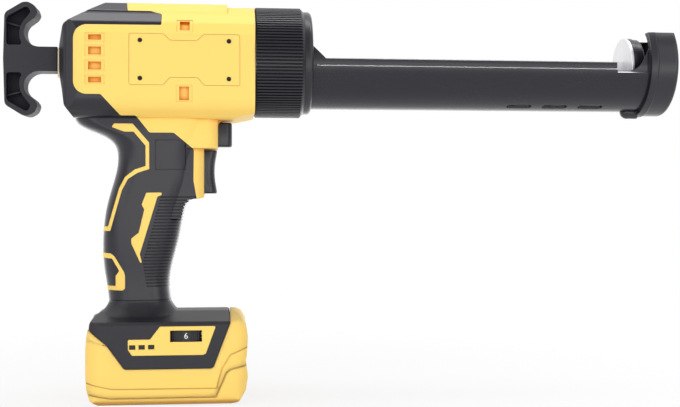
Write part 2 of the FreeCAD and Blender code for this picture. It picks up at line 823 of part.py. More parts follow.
def pinion_bearings():
    rings = []
    for side in (-1, 1):
        inner = pinion_half_width + running_gap
        limits = sorted((side * inner, side * (inner + bearing_width)))
        ring = rod_y(bearing_radius, limits[0], limits[1], pinion_place, pinion_height)
        bore = rod_y(shaft_radius + shaft_gap, limits[0], limits[1], pinion_place, pinion_height)
        rings.append(ring.cut(bore))
    return Part.makeCompound(rings)


def rack_teeth(pitch):
    """Places of the rack's teeth, enough for the whole travel, one of them over the pinion."""
    first = math.ceil((handle_front + pitch - pinion_place) / pitch)
    last = math.floor((plunger_travel + 2 * pitch_radius) / pitch)
    return [pinion_place + number * pitch for number in range(first, last + 1)]


def push_rod():
    """Square bar with rack teeth along its underside and the hole for the handle's pin."""
    pitch = math.pi * tooth_module
    tip_z = axis_height - rod_drop
    root_z = tip_z + addendum + dedendum
    slope = math.tan(pressure_angle)
    half = (pitch - backlash) / 4
    tip_half = half - addendum * slope
    root_half = half + dedendum * slope
    gap = pitch - 2 * root_half
    teeth = rack_teeth(pitch)
    rear = handle_front - rod_tail
    points = [(rear, axis_height + rod_rise, 0), (rear, tip_z, 0)]
    points.append((teeth[0] - root_half - gap, tip_z, 0))
    points.append((teeth[0] - root_half - gap, root_z, 0))
    for x in teeth:
        points += [(x - root_half, root_z, 0), (x - tip_half, tip_z, 0)]
        points += [(x + tip_half, tip_z, 0), (x + root_half, root_z, 0)]
    end = teeth[-1] + root_half + gap
    points += [(end, root_z, 0), (end, tip_z, 0), (rod_front, tip_z, 0)]
    points.append((rod_front, axis_height + rod_rise, 0))
    rod = slab(points, -rod_half_width, rod_half_width)
    pin = rod_y(handle_pin_radius, -overrun, overrun, handle_front - rod_tail / 2, axis_height)
    return rod.cut(pin)


def involute(base, radius):
    """Angle of the involute of the base circle where it crosses the radius."""
    roll = math.sqrt(max(radius * radius / (base * base) - 1, 0))
    return roll - math.atan(roll)


def drive_pinion():
    """Involute pinion in one piece with its shaft, a tooth space facing the rack tooth above it."""
    base = pitch_radius * math.cos(pressure_angle)
    tip = pitch_radius + addendum
    root = pitch_radius - dedendum
    pitch_angle = 2 * math.pi / pinion_teeth
    half_tooth = pitch_angle / 4 - backlash / (4 * pitch_radius)
    at_pitch = involute(base, pitch_radius)
    radii = [max(base, root) + (tip - max(base, root)) * share for share in flank_shares]
    flank = [(r, half_tooth + at_pitch - involute(base, r)) for r in radii]
    flank = [(root, flank[0][1])] + flank if root < base else flank
    points = []
    for tooth in range(pinion_teeth):
        middle = math.pi / 2 + pitch_angle * (tooth + 0.5)
        polar = [(r, middle - a) for r, a in flank] + [(r, middle + a) for r, a in reversed(flank)]
        for r, a in polar:
            points.append((pinion_place + r * math.cos(a), pinion_height + r * math.sin(a), 0))
    wheel = slab(points, -pinion_half_width, pinion_half_width)
    shaft = rod_y(shaft_radius, -shaft_half_length, shaft_half_length, pinion_place, pinion_height)
    return fuse([wheel, shaft])


def handle_outline():
    upper = []
    for (a, b), share in zip(handle_shares, handle_round_shares):
        x = handle_front - handle_depth * (1 - a)
        upper.append((x, b * handle_half_height, share * handle_half_height))
    lower = [(x, -z, r) for x, z, r in reversed(upper[:-1])]
    return [(x, axis_height + z, r) for x, z, r in upper + lower]


def rod_handle():
    """T-handle, hollowed on both faces above and below its stem, with a rib across each hollow."""
    y = handle_thickness / 2
    handle = slab(handle_outline(), -y, y)
    web = handle_web / 2
    for flip in (1, -1):
        points = []
        for a, b in pocket_shares:
            x = handle_front - handle_depth * (1 - a)
            points.append((x, axis_height + flip * b * handle_half_height, handle_rim))
        (a0, b0), (a1, b1) = pocket_rib_shares
        start = (handle_front - handle_depth * (1 - a0), axis_height + flip * b0 * handle_half_height)
        end = (handle_front - handle_depth * (1 - a1), axis_height + flip * b1 * handle_half_height)
        rib = [(start[0], start[1] - handle_rib / 2, 0), (end[0], end[1] - handle_rib / 2, 0),
               (end[0], end[1] + handle_rib / 2, 0), (start[0], start[1] + handle_rib / 2, 0)]
        for side in (-1, 1):
            pocket = slab(points, *sorted((side * web, side * (y + overrun))))
            pocket = pocket.cut(slab(rib, *sorted((side * web, side * (y - handle_rib_sink)))))
            handle = handle.cut(pocket)
    socket = bar(rod_outline(0), handle_front - rod_tail, handle_front + overrun)
    return handle.cut(socket).cut(handle_pin())


def handle_pin():
    """Pin pressed in from the left, its blind end covered on the right."""
    y = handle_thickness / 2
    return rod_y(handle_pin_radius, handle_pin_cover - y, y, handle_front - rod_tail / 2, axis_height)


def piston_plate():
    disc = rod_x(piston_radius, rod_front, rod_front + piston_thickness)
    return disc.makeFillet(piston_edge, disc.Edges)


def piston_puck():
    """Soft seal behind the cartridge's plunger: a rim as wide as the plate, then a cup."""
    rear = rod_front + piston_thickness
    step = rear + puck_thickness
    front = step + puck_cup_length
    inner = piston_radius - puck_cup_inset
    return turned([(rear, 0, 0), (rear, piston_radius, 0), (step, piston_radius, puck_edge / 2),
                   (step, inner, 0), (front, inner, puck_edge), (front, 0, 0)])


def piston_screw():
    front = rod_front + piston_thickness + puck_thickness + puck_cup_length
    head = rod_x(piston_screw_radius, front, front + piston_screw_height)
    rim = [edge for edge in head.Edges if edge.BoundBox.XMin > front + piston_screw_height / 2]
    return head.makeFillet(piston_screw_edge, rim)


def collar_nut():
    """Ring nut with straight grip ribs, a bore over the nose and a front lip over the carrier."""
    rear = body_front_reach + collar_gap
    points = []
    step = 2 * math.pi / collar_rib_count
    for number in range(collar_rib_count):
        for share, depth in collar_rib_shares:
            angle = step * (number + share)
            radius = collar_radius - depth * collar_rib_height
            points.append((radius * math.cos(angle), axis_height + radius * math.sin(angle), 0))
    ring = bar(points, rear, collar_front)
    edge = collar_chamfer / 2
    mask = [(rear, 0), (rear, collar_radius - edge / 2), (rear + edge / 2, collar_radius),
            (collar_front - collar_chamfer, collar_radius),
            (collar_front, collar_radius - collar_chamfer), (collar_front, 0)]
    ring = ring.common(turned([(x, r, 0) for x, r in mask]))
    lip_front = collar_front + collar_lip_length
    lip = turned([(collar_front - edge, 0, 0), (collar_front - edge, collar_lip_radius, 0),
                  (lip_front, collar_lip_radius, collar_lip_length / 2), (lip_front, 0, 0)])
    bore = rod_x(nose_radius + running_gap, rear - overrun, carrier_lip_rear())
    mouth = rod_x(carrier_radius + running_gap, rear - overrun, lip_front + overrun)
    return fuse([ring, lip]).cut(bore).cut(mouth)


def carrier_lip_rear():
    """Where the collar's lip starts, in front of the carrier's flange."""
    return carrier_rear + carrier_flange_thickness + running_gap


def turned(points):
    """A profile of (x, radius, corner) points turned about the push rod's axis."""
    face = rounded_face([(x, axis_height + r, corner) for x, r, corner in points], side_point)
    return face.revolve(Vector(0, 0, axis_height), Vector(1, 0, 0), 360)


def carrier_trough():
    """Half-round carrier: rear flange and neck ring, recessed lips, and a front sleeve open on top."""
    inner = carrier_radius - carrier_wall
    front = carrier_reach - cap_front_wall
    tube = rod_x(carrier_radius, carrier_rear, front)
    flange = rod_x(carrier_flange_radius, carrier_rear, carrier_rear + carrier_flange_thickness)
    trough = fuse([tube, flange]).cut(rod_x(inner, carrier_rear - overrun, front + overrun))
    start = collar_front + collar_lip_length
    notch = cap_rear - notch_length
    gusset = cap_rear - gusset_setback
    end = cap_rear - cap_lip_length / 2
    high = axis_height + carrier_radius + overrun
    top = axis_height
    rim = top - notch_drop
    flat = axis_height + cap_flat_height
    opening = [(start, high, 0), (start, top + gusset_rise, 0), (start + gusset_rise, top, 0),
               (notch, top, 0), (notch, rim, 0), (gusset, rim, gusset_radius),
               (end, top + gusset_height, 0), (end, flat, 0),
               (front + overrun, flat, 0), (front + overrun, high, 0)]
    reach = carrier_radius + overrun
    trough = trough.cut(slab(opening, -reach, reach))
    ledge = rod_x(carrier_radius + overrun, start, end).cut(rod_x(carrier_radius - lip_step, start, end))
    band = fuse([box((start, notch), (-reach, reach), (top - lip_band, high)),
                 box((notch, end), (-reach, reach), (rim - notch_band, high))])
    trough = trough.cut(ledge.common(band))
    return trough.cut(fuse(carrier_slots()))


def carrier_slots():
    """Three drain slots in a row on each side of the bottom, near the front."""
    slots = []
    y = carrier_radius * math.sin(slot_angle)
    for side in (-1, 1):
        for number in range(slot_count):
            x = cap_rear - slot_setback - number * slot_pitch - slot_length
            ends = [(x, side * y - slot_width / 2, slot_width / 2),
                    (x + slot_length, side * y - slot_width / 2, slot_width / 2),
                    (x + slot_length, side * y + slot_width / 2, slot_width / 2),
                    (x, side * y + slot_width / 2, slot_width / 2)]
            low = axis_height - carrier_radius - overrun
            slots.append(post(ends, low, axis_height - carrier_radius / 2))
    return slots


def front_cap():
    """Cap ring over the carrier's sleeve: a front wall with the nozzle's slot, a flat open top."""
    inner = carrier_radius + seat_gap
    front = carrier_reach
    body = turned([(cap_rear, 0, 0), (cap_rear, cap_radius, 0), (front, cap_radius, cap_edge),
                   (front, 0, 0)])
    lip_rear = cap_rear - cap_lip_length / 2
    lip = turned([(lip_rear, 0, 0), (lip_rear, cap_radius, 0),
                  (cap_rear + cap_lip_length, cap_radius + cap_lip_rise, cap_lip_rise),
                  (cap_rear + cap_lip_length + cap_lip_rise, cap_radius, 0),
                  (cap_rear + cap_lip_length + cap_lip_rise, 0, 0)])
    boss_x = cap_rear - cap_boss_length
    boss = rod_x(cap_boss_radius, boss_x, cap_rear, axis_height - carrier_radius)
    tip = Part.makeSphere(cap_boss_radius, Vector(boss_x, 0, axis_height - carrier_radius))
    boss = fuse([boss, tip])
    cap = fuse([body, lip, boss])
    cap = cap.cut(rod_x(inner, boss_x - overrun, front - cap_front_wall))
    y = nozzle_slot_half_width
    high = axis_height + cap_radius + overrun
    slot = [(-y, axis_height - y, y), (y, axis_height - y, y), (y, high, 0), (-y, high, 0)]
    cap = cap.cut(bar(slot, front - cap_length, front + overrun))
    reach = cap_radius + overrun
    top = box((boss_x - overrun, front + overrun), (-reach, reach), (axis_height + cap_flat_height, high))
    return cap.cut(top).cut(cap_screw_hole(shaft_gap))


def cap_screw_hole(gap):
    low = axis_height - carrier_radius - cap_boss_radius - overrun
    x = cap_rear - cap_boss_length / 2
    return rod_z(cap_screw_radius + gap, low, axis_height - carrier_radius, x, 0)


def cap_screw():
    low = axis_height - carrier_radius - cap_boss_radius + seat_gap
    return rod_z(cap_screw_radius, low, axis_height - carrier_radius - seat_gap,
                 cap_rear - cap_boss_length / 2, 0)


def trigger():
    """Trigger blade with a hollowed front and a rear flange that keeps it in the shroud."""
    x, z = trigger_place()
    rear = x - trigger_inner_length
    front = [(x + a * trigger_reach, z + b * trigger_height, trigger_height / 2) for a, b in trigger_shares]
    corner = trigger_flange
    front[0] = (front[0][0], front[0][1], corner)
    front[-1] = (front[-1][0], front[-1][1], corner)
    points = [(rear, z, 0)] + front + [(rear, z + trigger_height, 0)]
    blade = slab(points, -trigger_half_width, trigger_half_width)
    y = trigger_half_width + trigger_flange
    flange = box((rear, rear + trigger_flange_thickness), (-y, y),
                 (z + corner, z + trigger_height - corner))
    return fuse([blade, flange])


def switch_place():
    """Rear end and underside of the switch."""
    x, z = trigger_place()
    front = x - trigger_inner_length - trigger_spring_length
    return front - switch_length, z + (trigger_height - switch_height) / 2


def trigger_switch():
    x, z = switch_place()
    y = switch_half_width
    return box((x, x + switch_length), (-y, y), (z, z + switch_height))


def sleeve_spring(radius, rear, length, height):
    outer = rod_x(radius, rear, rear + length, height)
    return outer.cut(rod_x(radius - spring_wall, rear, rear + length, height))


def trigger_spring():
    x, z = switch_place()
    rear = x + switch_length
    return sleeve_spring(trigger_spring_radius, rear, trigger_spring_length, z + switch_height / 2)


def lock_button():
    x, z = button_place()
    rear = button_rear()
    y = button_half_width
    points = [(x, z, 0), (x + button_reach, z, button_corner / 2),
              (x + button_reach, z + button_height, button_corner), (x, z + button_height, 0)]
    block = slab(points, -y, y)
    low = up(button_shroud_shares[-1][1]) + wall + running_gap
    high = z + button_height - trigger_flange
    stem = box((rear, x), (-y, y), (low, high))
    y = y + trigger_flange
    flange = box((rear, rear + trigger_flange_thickness), (-y, y), (low, high))
    return fuse([block, stem, flange])


def lock_spring():
    z = button_place()[1]
    rear = button_rear() - lock_spring_length
    return sleeve_spring(lock_spring_radius, rear, lock_spring_length, z + button_height / 2)


def base_outline(shares, radius):
    return [(a * base_half_length, b * foot_height, radius) for a, b in shares]


def base_plan(inset):
    rear = inset - base_rear_share * base_half_length
    front = base_half_length - inset
    y = base_half_width - inset
    r = base_corner - inset
    return [(rear, -y, r), (front, -y, r), (front, y, r), (rear, y, r)]


def crown(inset):
    """Crowned roof shared by the foot and the battery."""
    top = crown_share * foot_height
    side = base_half_width
    points = [(-side, -overrun, 0), (side, -overrun, 0), (side, foot_shoulder, foot_corner),
              (foot_crown, top, foot_crown_corner), (-foot_crown, top, foot_crown_corner),
              (-side, foot_shoulder, foot_corner)]
    return bar(inset_outline(points, inset), -2 * base_half_length, 2 * base_half_length)


def foot_form(inset):
    """Foot's outer form: the wedge that sits in the battery's saddle, with a crowned top."""
    reach = base_half_width + overrun
    wedge = slab(inset_outline(base_outline(foot_shares, foot_corner), inset), -reach, reach)
    plan = post(base_plan(inset), -overrun, foot_height + overrun)
    return wedge.common(crown(inset)).common(plan)


def neck_section(grow, height):
    rear, front, half = grip_shares[0][1:]
    x = (along(rear) - grow, along(front) + grow)
    y = across(half) + grow
    r = grip_corner + grow
    wire = rounded_face([(x[0], -y, r), (x[1], -y, r), (x[1], y, r), (x[0], y, r)], plan_point).OuterWire
    wire.translate(Vector(0, 0, height))
    return wire


def neck_form():
    """Neck flaring from the grip's end into the foot's top."""
    wires = [neck_section(a * neck_flare, neck_height - b * neck_drop) for a, b in neck_shares]
    return Part.makeLoft(wires, True, False)


def spigot(grow):
    low = foot_shoulder
    high = neck_height + spigot_height
    return Part.Face(neck_section(grow - wall - spigot_gap, low)).extrude(Vector(0, 0, high - low))


def dial_spot():
    left, right, low, high = dial_window_shares
    x = (left + right) / 2 * base_half_length
    z = (low + high) / 2 * foot_height
    return x, dial_radius - base_half_width - dial_proud, z


def panel_cut(grow):
    """The side panel's outline, through the foot's right wall."""
    points = inset_outline(base_outline(inlay_shares, panel_corner), -grow)
    return slab(points, -base_half_width - overrun, -base_half_width + panel_thickness + grow)


def dial_window(depth):
    left, right, low, high = dial_window_shares
    x = (left * base_half_length, right * base_half_length)
    y = (-base_half_width - overrun, -base_half_width + depth)
    return box(x, y, (low * foot_height, high * foot_height))


def led_blocks(grow, outer, inner):
    blocks = []
    for a, b in led_shares:
        x = (a * base_half_length - led_length / 2 - grow, a * base_half_length + led_length / 2 + grow)
        z = (b * foot_height - led_height / 2 - grow, b * foot_height + led_height / 2 + grow)
        blocks.append(box(x, (outer, inner), z))
    return blocks


def foot_floor():
    return foot_shares[3][1] * foot_height


def foot_shell():
    """Foot: a wedge shell open below, its neck and the spigot inside the grip."""
    inside = foot_form(foot_wall)
    shell = fuse([foot_form(0), neck_form()]).cut(inside)
    shell = fuse([shell, spigot(0)]).cut(spigot(-spigot_wall)).cut(foot_base_form(seat_gap))
    shell = shell.cut(panel_cut(seat_gap)).cut(dial_window(foot_wall + overrun))
    side = -base_half_width
    return shell.cut(fuse(led_blocks(seat_gap, side - overrun, side + foot_wall + overrun)))


def foot_base_form(grow):
    """Bottom cover's outline, let into the foot's lower edge."""
    low = foot_floor()
    x = (foot_shares[4][0] * base_half_length + foot_wall - grow,
         foot_shares[3][0] * base_half_length - foot_wall + grow)
    y = base_half_width - foot_wall + grow
    return box(x, (-y, y), (low - grow, low + foot_wall + grow))


def blades(gap, low, high):
    """The battery's three contact blades, grown by the gap."""
    half = blade_half_thickness + gap
    x = (-blade_half_length - gap, blade_half_length + gap)
    return [box(x, (y - half, y + half), (low, high)) for y in (-blade_pitch, 0, blade_pitch)]


def foot_base():
    low = foot_floor()
    plate = foot_base_form(0)
    y = terminal_half_width + seat_gap
    x = terminal_half_length + seat_gap
    return plate.cut(box((-x, x), (-y, y), (low - overrun, low + overrun)))


def terminal_block():
    """Tool-side terminal block standing in the bottom cover, with slots for the battery's blades."""
    low = foot_floor()
    y = terminal_half_width
    block = box((-terminal_half_length, terminal_half_length), (-y, y), (low, low + terminal_height))
    return block.cut(fuse(blades(running_gap, low - overrun, low + terminal_height - foot_wall)))


def control_board():
    """Board on the terminal block, with the post that the speed dial turns on."""
    low = foot_floor() + terminal_height
    x = foot_shares[3][0] * base_half_length - foot_wall
    y = (-board_half_width, terminal_half_width)
    plate = box((-terminal_half_length, x), y, (low, low + board_thickness))
    dial_x, dial_y, dial_z = dial_spot()
    stem = rod_z(dial_post_radius, low, dial_z + dial_height / 2, dial_x, dial_y)
    return fuse([plate, stem])


def speed_dial():
    """Ribbed thumbwheel that shows in the panel's window, with smooth places for its numbers."""
    x, y, z = dial_spot()
    points = []
    step = 2 * math.pi / dial_rib_count
    for number in range(dial_rib_count):
        smooth = number // dial_number_ribs < dial_numbers
        smooth = smooth and number % dial_number_ribs < dial_number_width
        for share, depth in dial_rib_shares:
            angle = step * (number + share - dial_number_width / 2) - math.pi / 2
            radius = dial_radius - (1 if smooth else depth) * dial_rib_height
            points.append((x + radius * math.cos(angle), y + radius * math.sin(angle), 0))
    wheel = post(points, z - dial_height / 2, z + dial_height / 2)
    return wheel.cut(rod_z(dial_post_radius + shaft_gap, z - dial_height, z + dial_height, x, y))


def foot_panel():
    panel = panel_cut(0).common(foot_form(0))
    side = -base_half_width
    panel = panel.cut(dial_window(foot_wall + overrun))
    return panel.cut(fuse(led_blocks(seat_gap, side - overrun, side + foot_wall + overrun)))


def led_windows():
    side = -base_half_width
    return Part.makeCompound(led_blocks(0, side + seat_gap, side + foot_wall))


def battery_form(inset):
    reach = base_half_width + overrun
    outline = inset_outline(base_outline(battery_shares, battery_corner), inset)
    side = slab(outline, -reach, reach)
    edge = battery_edge
    tall = [(-base_half_width, 0, edge), (base_half_width, 0, edge),
            (base_half_width, foot_height + overrun, 0), (-base_half_width, foot_height + overrun, 0)]
    front = bar(inset_outline(tall, inset), -2 * base_half_length, 2 * base_half_length)
    plan = post(base_plan(inset), -overrun, foot_height + overrun)
    return side.common(front).common(crown(inset)).common(plan)


def saddle(gap):
    """Room for the foot, and all above it, cut from the battery."""
    points = inset_outline(base_outline(foot_shares, foot_corner), -gap)
    reach = base_half_width + overrun
    wedge = slab(points, -reach, reach)
    above = [(points[6][0] - overrun, points[6][1], 0), (points[5][0], points[5][1], 0),
             (points[2][0], points[2][1], 0), (points[1][0], foot_height + 2 * overrun, 0),
             (points[6][0] - overrun, foot_height + 2 * overrun, 0)]
    return fuse([wedge, slab(above, -reach, reach)])


def lower_zone(gap):
    """All below the battery's parting line."""
    line = [(a * base_half_length, b * foot_height + gap, 0) for a, b in parting_shares]
    right = line[-1][0]
    left = line[0][0]
    reach = base_half_width + overrun
    return slab(line + [(right, -overrun, 0), (left, -overrun, 0)], -reach, reach)


def groove_cut():
    """Shallow grooves round the battery's sides, along the parting line and above it."""
    reach = base_half_width + overrun
    strips = []
    for shares in (groove_shares, parting_shares):
        line = [(a * base_half_length, b * foot_height, 0) for a, b in shares]
        shifted = [(x + battery_groove, z - battery_groove, 0) for x, z, r in reversed(line)]
        strips.append(slab(line + shifted, -reach, reach))
    return fuse(strips).common(battery_form(0).cut(battery_form(battery_groove_depth)))


def cell_spots():
    middle = (1 - base_rear_share) * base_half_length / 2
    first = middle - cell_pitch * (cell_count - 1) / 2
    z = tray_floor + cell_radius + seat_gap
    return [(first + number * cell_pitch, z) for number in range(cell_count)]


def cell_room(gap):
    half = cell_length / 2 + gap
    spots = cell_spots()
    rods = [rod_y(cell_radius + gap, -half, half, x, z) for x, z in spots]
    return fuse(rods)


def battery_shells():
    """Upper case with its saddle, and the tray below the parting line."""
    shell = battery_form(0).cut(saddle(battery_gap))
    hollow = battery_form(battery_wall).cut(saddle(battery_gap + battery_wall))
    shell = shell.cut(hollow)
    shell = shell.cut(cell_room(seat_gap))
    base = foot_floor() - battery_gap
    shell = shell.cut(fuse(blades(0, base - battery_wall, base)))
    shell = shell.cut(groove_cut())
    zone = lower_zone(0)
    return {"battery_case_top": shell.cut(zone), "battery_case_bottom": shell.common(zone)}


def battery_cells():
    half = cell_length / 2
    return Part.makeCompound([rod_y(cell_radius, -half, half, x, z) for x, z in cell_spots()])


def battery_terminals():
    """Blades that stand up from the saddle's floor into the tool's terminal block."""
    base = foot_floor() - battery_gap - battery_wall
    high = foot_floor() + terminal_height - foot_wall - running_gap
    return Part.makeCompound(blades(0, base, high))


def export(name, shape):
    solids = shape.Solids
    whole = solids[0] if len(solids) == 1 else Part.makeCompound(solids)
    print(name, len(solids), round(whole.Volume), whole.isValid())
    whole.exportStep("parts/" + name + ".step")


def build():
    os.makedirs("parts", exist_ok=True)
    pieces = body_shells()
    pieces.update(battery_shells())
    makers = [rear_rod_bush, gearbox_case, motor_can, motor_end_bell, pinion_bearings, push_rod,
              drive_pinion, rod_handle, handle_pin, piston_plate, piston_puck, piston_screw,
              collar_nut, carrier_trough, front_cap, cap_screw, trigger, trigger_switch,
              trigger_spring, lock_button, lock_spring, foot_shell, foot_base, terminal_block,
              control_board, speed_dial, foot_panel, led_windows, battery_cells,
              battery_terminals]
    for maker in makers:
        pieces[maker.__name__] = maker()
    for name, shape in pieces.items():
        export(name, shape)


build()
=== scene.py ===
import math

import bmesh
import bpy
from mathutils import Matrix, Vector


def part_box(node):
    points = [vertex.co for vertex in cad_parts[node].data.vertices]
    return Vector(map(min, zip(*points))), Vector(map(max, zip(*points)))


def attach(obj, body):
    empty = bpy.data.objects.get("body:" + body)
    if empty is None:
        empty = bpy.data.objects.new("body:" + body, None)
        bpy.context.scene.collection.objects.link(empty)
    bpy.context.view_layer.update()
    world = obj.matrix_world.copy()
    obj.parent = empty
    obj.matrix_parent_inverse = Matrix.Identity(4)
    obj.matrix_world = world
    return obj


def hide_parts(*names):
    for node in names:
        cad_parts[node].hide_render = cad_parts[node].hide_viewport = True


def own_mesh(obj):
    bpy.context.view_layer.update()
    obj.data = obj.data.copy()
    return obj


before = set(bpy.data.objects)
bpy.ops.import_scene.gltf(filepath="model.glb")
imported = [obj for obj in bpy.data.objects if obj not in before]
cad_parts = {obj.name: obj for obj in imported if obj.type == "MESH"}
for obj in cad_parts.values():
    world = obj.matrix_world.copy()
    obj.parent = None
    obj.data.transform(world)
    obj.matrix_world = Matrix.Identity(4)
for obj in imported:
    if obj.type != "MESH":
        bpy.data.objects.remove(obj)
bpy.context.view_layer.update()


# Clamshell halves, side plate, foot panel and grip accents.
# Injection moulded in yellow ABS with a fine spark-eroded grain. The halves meet on the
# tool's middle plane; the plate and the panel lie in shallow recesses of their own.
class Wire:
    """A shader socket that can be reckoned with: each operator adds a Math node."""

    def __init__(self, socket):
        self.socket = socket
        self.tree = socket.id_data

    def node(self, kind, settings, inputs, out=0):
        """A new node in the same tree; each input is a Wire or a fixed value."""
        made = self.tree.nodes.new(kind)
        for name, value in settings.items():
            setattr(made, name, value)
        for key, value in inputs.items():
            if isinstance(value, Wire):
                self.tree.links.new(value.socket, made.inputs[key])
            else:
                made.inputs[key].default_value = value
        return Wire(made.outputs[out])

    def maths(self, operation, a, b):
        return self.node("ShaderNodeMath", {"operation": operation}, {0: a, 1: b})

    def clamp(self):
        return self.node("ShaderNodeMath", {"operation": "ADD", "use_clamp": True}, {0: self, 1: 0.0})

    def __add__(self, other):
        return self.maths("ADD", self, other)

    def __radd__(self, other):
        return self.maths("ADD", other, self)

    def __sub__(self, other):
        return self.maths("SUBTRACT", self, other)

    def __rsub__(self, other):
        return self.maths("SUBTRACT", other, self)

    def __mul__(self, other):
        return self.maths("MULTIPLY", self, other)

    def __rmul__(self, other):
        return self.maths("MULTIPLY", other, self)

    def noise(self, scale, detail=2.0):
        return self.node("ShaderNodeTexNoise", {}, {"Vector": self, "Scale": scale, "Detail": detail})

    def length(self):
        return self.node("ShaderNodeVectorMath", {"operation": "LENGTH"}, {0: self}, out="Value")

    def mixed(self, first, second):
        """Colour between the first and the second, this value being the second's share."""
        return self.node("ShaderNodeMix", {"data_type": "RGBA"}, {0: self, 6: first, 7: second}, out=2)

    def bump(self, strength, distance, normal):
        """The surface normal, disturbed by this value as a height."""
        return self.node("ShaderNodeBump", {}, {"Strength": strength, "Distance": distance,
                                                "Height": self, "Normal": normal})


def finish(name, **sockets):
    """A new material with its shader's fixed sockets set, the shader, and a Wire on Object coordinates."""
    material = bpy.data.materials.new(name)
    material.use_nodes = True
    shader = material.node_tree.nodes["Principled BSDF"]
    for key, value in sockets.items():
        shader.inputs[key.replace("_", " ")].default_value = value
    place = material.node_tree.nodes.new("ShaderNodeTexCoord").outputs["Object"]
    return material, shader, Wire(place)


def feed(shader, **wires):
    for key, wire in wires.items():
        wire.tree.links.new(wire.socket, shader.inputs[key.replace("_", " ")])


def softened(place, edge):
    """Surface normal rounded over the edges by this radius."""
    return place.node("ShaderNodeBevel", {"samples": 6}, {"Radius": edge})


def edge_mask(place, soft):
    """Near one along the edges that the softened normal rounds, zero on the flats."""
    steepness = 5
    true = place.node("ShaderNodeNewGeometry", {}, {}, out="Normal")
    along = place.node("ShaderNodeVectorMath", {"operation": "DOT_PRODUCT"}, {0: soft, 1: true},
                       out="Value")
    return ((1 - along) * steepness).clamp()


def openness(place, reach):
    """One on open surface, less in hollows about as deep as the reach."""
    return place.node("ShaderNodeAmbientOcclusion", {"samples": 8}, {"Distance": reach}, out="AO")


def moulded(name, colour, shade, worn, rough, grain, edge, specular=0.5, hollow_shade_colour=None, dull_reach=None):
    """Moulded plastic: two close shades, a fine grain, and edges rubbed a little paler and smoother.
    Hollows get a painted shade: ambient occlusion mixes their colour towards a deeper, darker one.
    With a dull reach, only the open surface keeps its polish, and grooves about as deep as the reach stay
    dull."""
    shade_reach = 0.006
    rubbed_paleness, rubbed_smoothness = 0.45, 0.08
    drift_roughness, speckle_roughness = 0.10, 0.06
    material, shader, place = finish(name, IOR=1.5, Specular_IOR_Level=specular)
    soft = softened(place, edge)
    patchy = 0.35 + 0.65 * place.noise(scale=160, detail=3)
    rubbed = edge_mask(place, soft) * patchy
    drift = place.noise(scale=22, detail=3)
    speckle = place.noise(scale=900)
    base = drift.mixed(colour, shade)
    base = (rubbed * rubbed_paleness).mixed(base, worn)
    # Painted shade: ambient occlusion mixes the colour in hollows towards the hollow shade colour.
    if hollow_shade_colour:
        painted_hollow_shade = ((1 - openness(place, shade_reach)) * 3.4 - 1.0).clamp()
        base = painted_hollow_shade.mixed(base, hollow_shade_colour)
    if dull_reach:
        touched = (openness(place, dull_reach) * 1.8 - 0.7).clamp()
        feed(shader, Coat_Weight=0.75 * touched)
        shader.inputs["Coat Roughness"].default_value = rough
    uneven = drift_roughness * (drift - 0.5) + speckle_roughness * (speckle - 0.5)
    feed(shader, Base_Color=base, Roughness=rough + uneven - rubbed_smoothness * rubbed,
         Normal=place.noise(grain).bump(strength=0.10, distance=0.00006, normal=soft))
    return material


def dress(material, *nodes):
    for name in nodes:
        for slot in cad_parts[name].material_slots:
            slot.material = material


yellow_abs = {"colour": (0.97, 0.67, 0.165, 1), "shade": (0.96, 0.645, 0.145, 1),
              "worn": (0.99, 0.76, 0.30, 1), "rough": 0.54, "grain": 5200, "specular": 0.35}
# The hollow shade colour is painted shade: vents and pockets turn deep orange.
yellow = moulded("yellow_moulding", edge=0.0006, hollow_shade_colour=(0.80, 0.26, 0.012, 1), **yellow_abs)
dress(yellow, "housing_right", "housing_left", "accents_right", "accents_left", "side_plate",
      "foot_panel")


# Rubber overmould.
# Soft black thermoplastic rubber shot over the rear corners, the top arm and the grip. It lies
# flush with the yellow shell, and its open faces keep more polish than the grooves between the ribs.
rubber = moulded("grip_rubber", colour=(0.0080, 0.0076, 0.0135, 1), shade=(0.0105, 0.010, 0.0165, 1),
                 worn=(0.03, 0.03, 0.036, 1), rough=0.32, grain=3600, edge=0.0005, specular=0.1,
                 dull_reach=0.0016)
dress(rubber, "overmould_right", "overmould_left")


# Rear rod bush.
# A pale acetal sleeve pressed into the rear wall, which shows as a thin ring round the rod.
bush = moulded("acetal_bush", colour=(0.86, 0.74, 0.50, 1), shade=(0.82, 0.70, 0.46, 1),
               worn=(0.9, 0.82, 0.62, 1), rough=0.35, grain=4000, edge=0.0003)
dress(bush, "rear_rod_bush")


# Gearbox case, motor and bearings inside the body.
# The case is die-cast aluminium with a bead-blasted skin; the motor can is drawn steel, zinc
# plated, and closed by a black end bell. The bearing rings and the pinion are ground steel.
def metal(name, colour, dull, rough, grain, edge):
    """Bare metal with a fine grain, cloudy duller patches and softened edges."""
    grain_roughness, cloud_roughness = 0.16, 0.10
    material, shader, place = finish(name, Metallic=1.0)
    fine = place.noise(grain, detail=4)
    cloud = place.noise(scale=35, detail=3)
    uneven = grain_roughness * (fine - 0.5) + cloud_roughness * (cloud - 0.5)
    feed(shader, Base_Color=cloud.mixed(colour, dull), Roughness=rough + uneven,
         Normal=fine.bump(strength=0.25, distance=0.00004, normal=softened(place, edge)))
    return material


